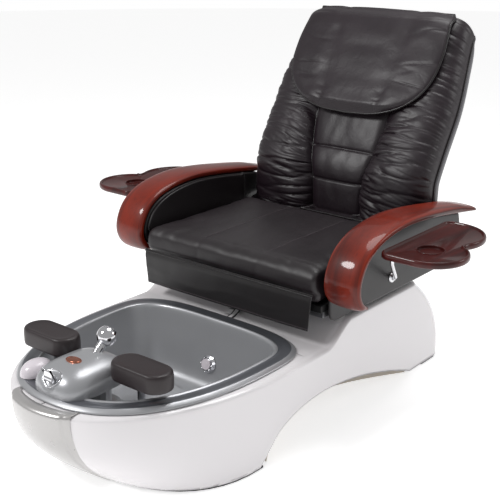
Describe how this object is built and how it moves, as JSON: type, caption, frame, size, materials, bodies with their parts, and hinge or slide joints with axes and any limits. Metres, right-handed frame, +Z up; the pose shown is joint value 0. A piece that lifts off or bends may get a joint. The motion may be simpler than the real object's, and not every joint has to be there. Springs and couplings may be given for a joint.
{
  "type": "pedicure spa chair",
  "caption": "Reclining padded chair with wooden armrests and side trays, sliding on a moulded base with a jet foot basin, padded footrests and a console with tap and hand shower.",
  "frame": {"origin": "on the floor, at the middle of the base's length and width, under the steel floor plate", "axes": "+Z up; the sitter faces -Y; +X is the sitter's left"},
  "size_m": [1.4, 1.6935, 1.1347],
  "materials": {
    "white_gelcoat": "high gloss moulded gelcoat",
    "silver_acrylic": "metallic silver acrylic",
    "black_leather": "satin grained leatherette",
    "cherry_wood": "gloss lacquer",
    "chrome": "polished",
    "steel": "zinc plated",
    "grey_plastic": "satin moulded",
    "pale_plastic": "gloss moulded",
    "black_plastic": "matte",
    "beige_gelcoat": "satin gelcoat",
    "copper": "brushed copper tone"
  },
  "bodies": {
    "base": {"base_shell_left": "white_gelcoat", "base_shell_right": "white_gelcoat", "kick_wall_left": "beige_gelcoat", "kick_wall_right": "beige_gelcoat", "footrest_post_left": "chrome", "footrest_post_right": "chrome", "upright_left": "steel", "upright_right": "steel", "slide_rail_left": "steel", "slide_rail_right": "steel", "floor_strip_front": "black_plastic", "floor_strip_rear": "black_plastic", "nose_panel": "silver_acrylic", "basin": "silver_acrylic", "jet_ring": "chrome", "jet_grille": "pale_plastic", "jet_pump": "grey_plastic", "drain_strainer": "chrome", "drain_pipe": "grey_plastic", "console_foot": "silver_acrylic", "console_cover": "silver_acrylic", "console_lid": "pale_plastic", "badge_plate": "copper", "shower_holder": "chrome", "floor_plate": "steel", "control_box": "grey_plastic", "power_inlet": "black_plastic", "deck_strip": "pale_plastic"},
    "seat": {"seat_frame": "steel", "seat_pan": "cherry_wood", "seat_cushion": "black_leather", "seat_skirt": "black_leather", "seat_side_left": "black_leather", "seat_side_right": "black_leather", "arm_left": "cherry_wood", "arm_right": "cherry_wood", "arm_panel_left": "black_leather", "arm_panel_right": "black_leather", "tray_tube_left": "chrome", "tray_tube_right": "chrome", "hinge_bracket_left": "steel", "hinge_bracket_right": "steel"},
    "back": {"back_pad": "black_leather", "back_shell": "grey_plastic", "back_hoop": "steel", "recline_shaft": "steel", "back_lower_cover": "pale_plastic", "massage_guide": "chrome"},
    "massage": {"massage_carriage": "steel", "massage_roller_left": "black_plastic", "massage_roller_right": "black_plastic"},
    "head_pad": {"head_flap": "black_leather"},
    "side_tray_left": {"tray_left": "cherry_wood"},
    "side_tray_right": {"tray_right": "cherry_wood"},
    "foot_pad_left": {"footrest_pad_left": "black_leather"},
    "foot_pad_right": {"footrest_pad_right": "black_leather"},
    "tap": {"mixer_lever": "chrome"},
    "hand_shower": {"shower_head": "chrome"},
    "plug": {"drain_plug": "chrome"}
  },
  "joints": [
    {"name": "seat_slide", "type": "slide", "parent": "base", "child": "seat", "axis": [0, 1, 0], "range_m": [-0.12, 0.05]},
    {"name": "back_recline", "type": "hinge", "parent": "seat", "child": "back", "pos_m": [0, 0.605, 0.425], "axis": [1, 0, 0], "range_deg": [-24, 4]},
    {"name": "massage_travel", "type": "slide", "parent": "back", "child": "massage", "axis": [0, 0.5139, 0.8578], "range_m": [-0.08, 0.08]},
    {"name": "head_pad_lift", "type": "hinge", "parent": "back", "child": "head_pad", "pos_m": [0, 0.872, 1.118], "axis": [-1, 0, 0], "range_deg": [0, 110]},
    {"name": "tray_swing_left", "type": "hinge", "parent": "seat", "child": "side_tray_left", "pos_m": [0.515, 0.13, 0.535], "axis": [0, 0, -1], "range_deg": [0, 75]},
    {"name": "tray_swing_right", "type": "hinge", "parent": "seat", "child": "side_tray_right", "pos_m": [-0.515, 0.13, 0.535], "axis": [0, 0, 1], "range_deg": [0, 75]},
    {"name": "footrest_swivel_left", "type": "hinge", "parent": "base", "child": "foot_pad_left", "pos_m": [0.165, -0.5, 0.295], "axis": [0, 0, 1], "range_deg": [-40, 40]},
    {"name": "footrest_swivel_right", "type": "hinge", "parent": "base", "child": "foot_pad_right", "pos_m": [-0.165, -0.5, 0.295], "axis": [0, 0, 1], "range_deg": [-20, 40]},
    {"name": "tap_turn", "type": "hinge", "parent": "base", "child": "tap", "pos_m": [0, -0.66, 0.309], "axis": [1, 0, 0], "range_deg": [-18, 18]},
    {"name": "shower_lift", "type": "slide", "parent": "base", "child": "hand_shower", "axis": [0, 0.7071, 0.7071], "range_m": [0, 0.12]},
    {"name": "plug_lift", "type": "slide", "parent": "base", "child": "plug", "axis": [0, 0, 1], "range_m": [0, 0.015]}
  ]
}
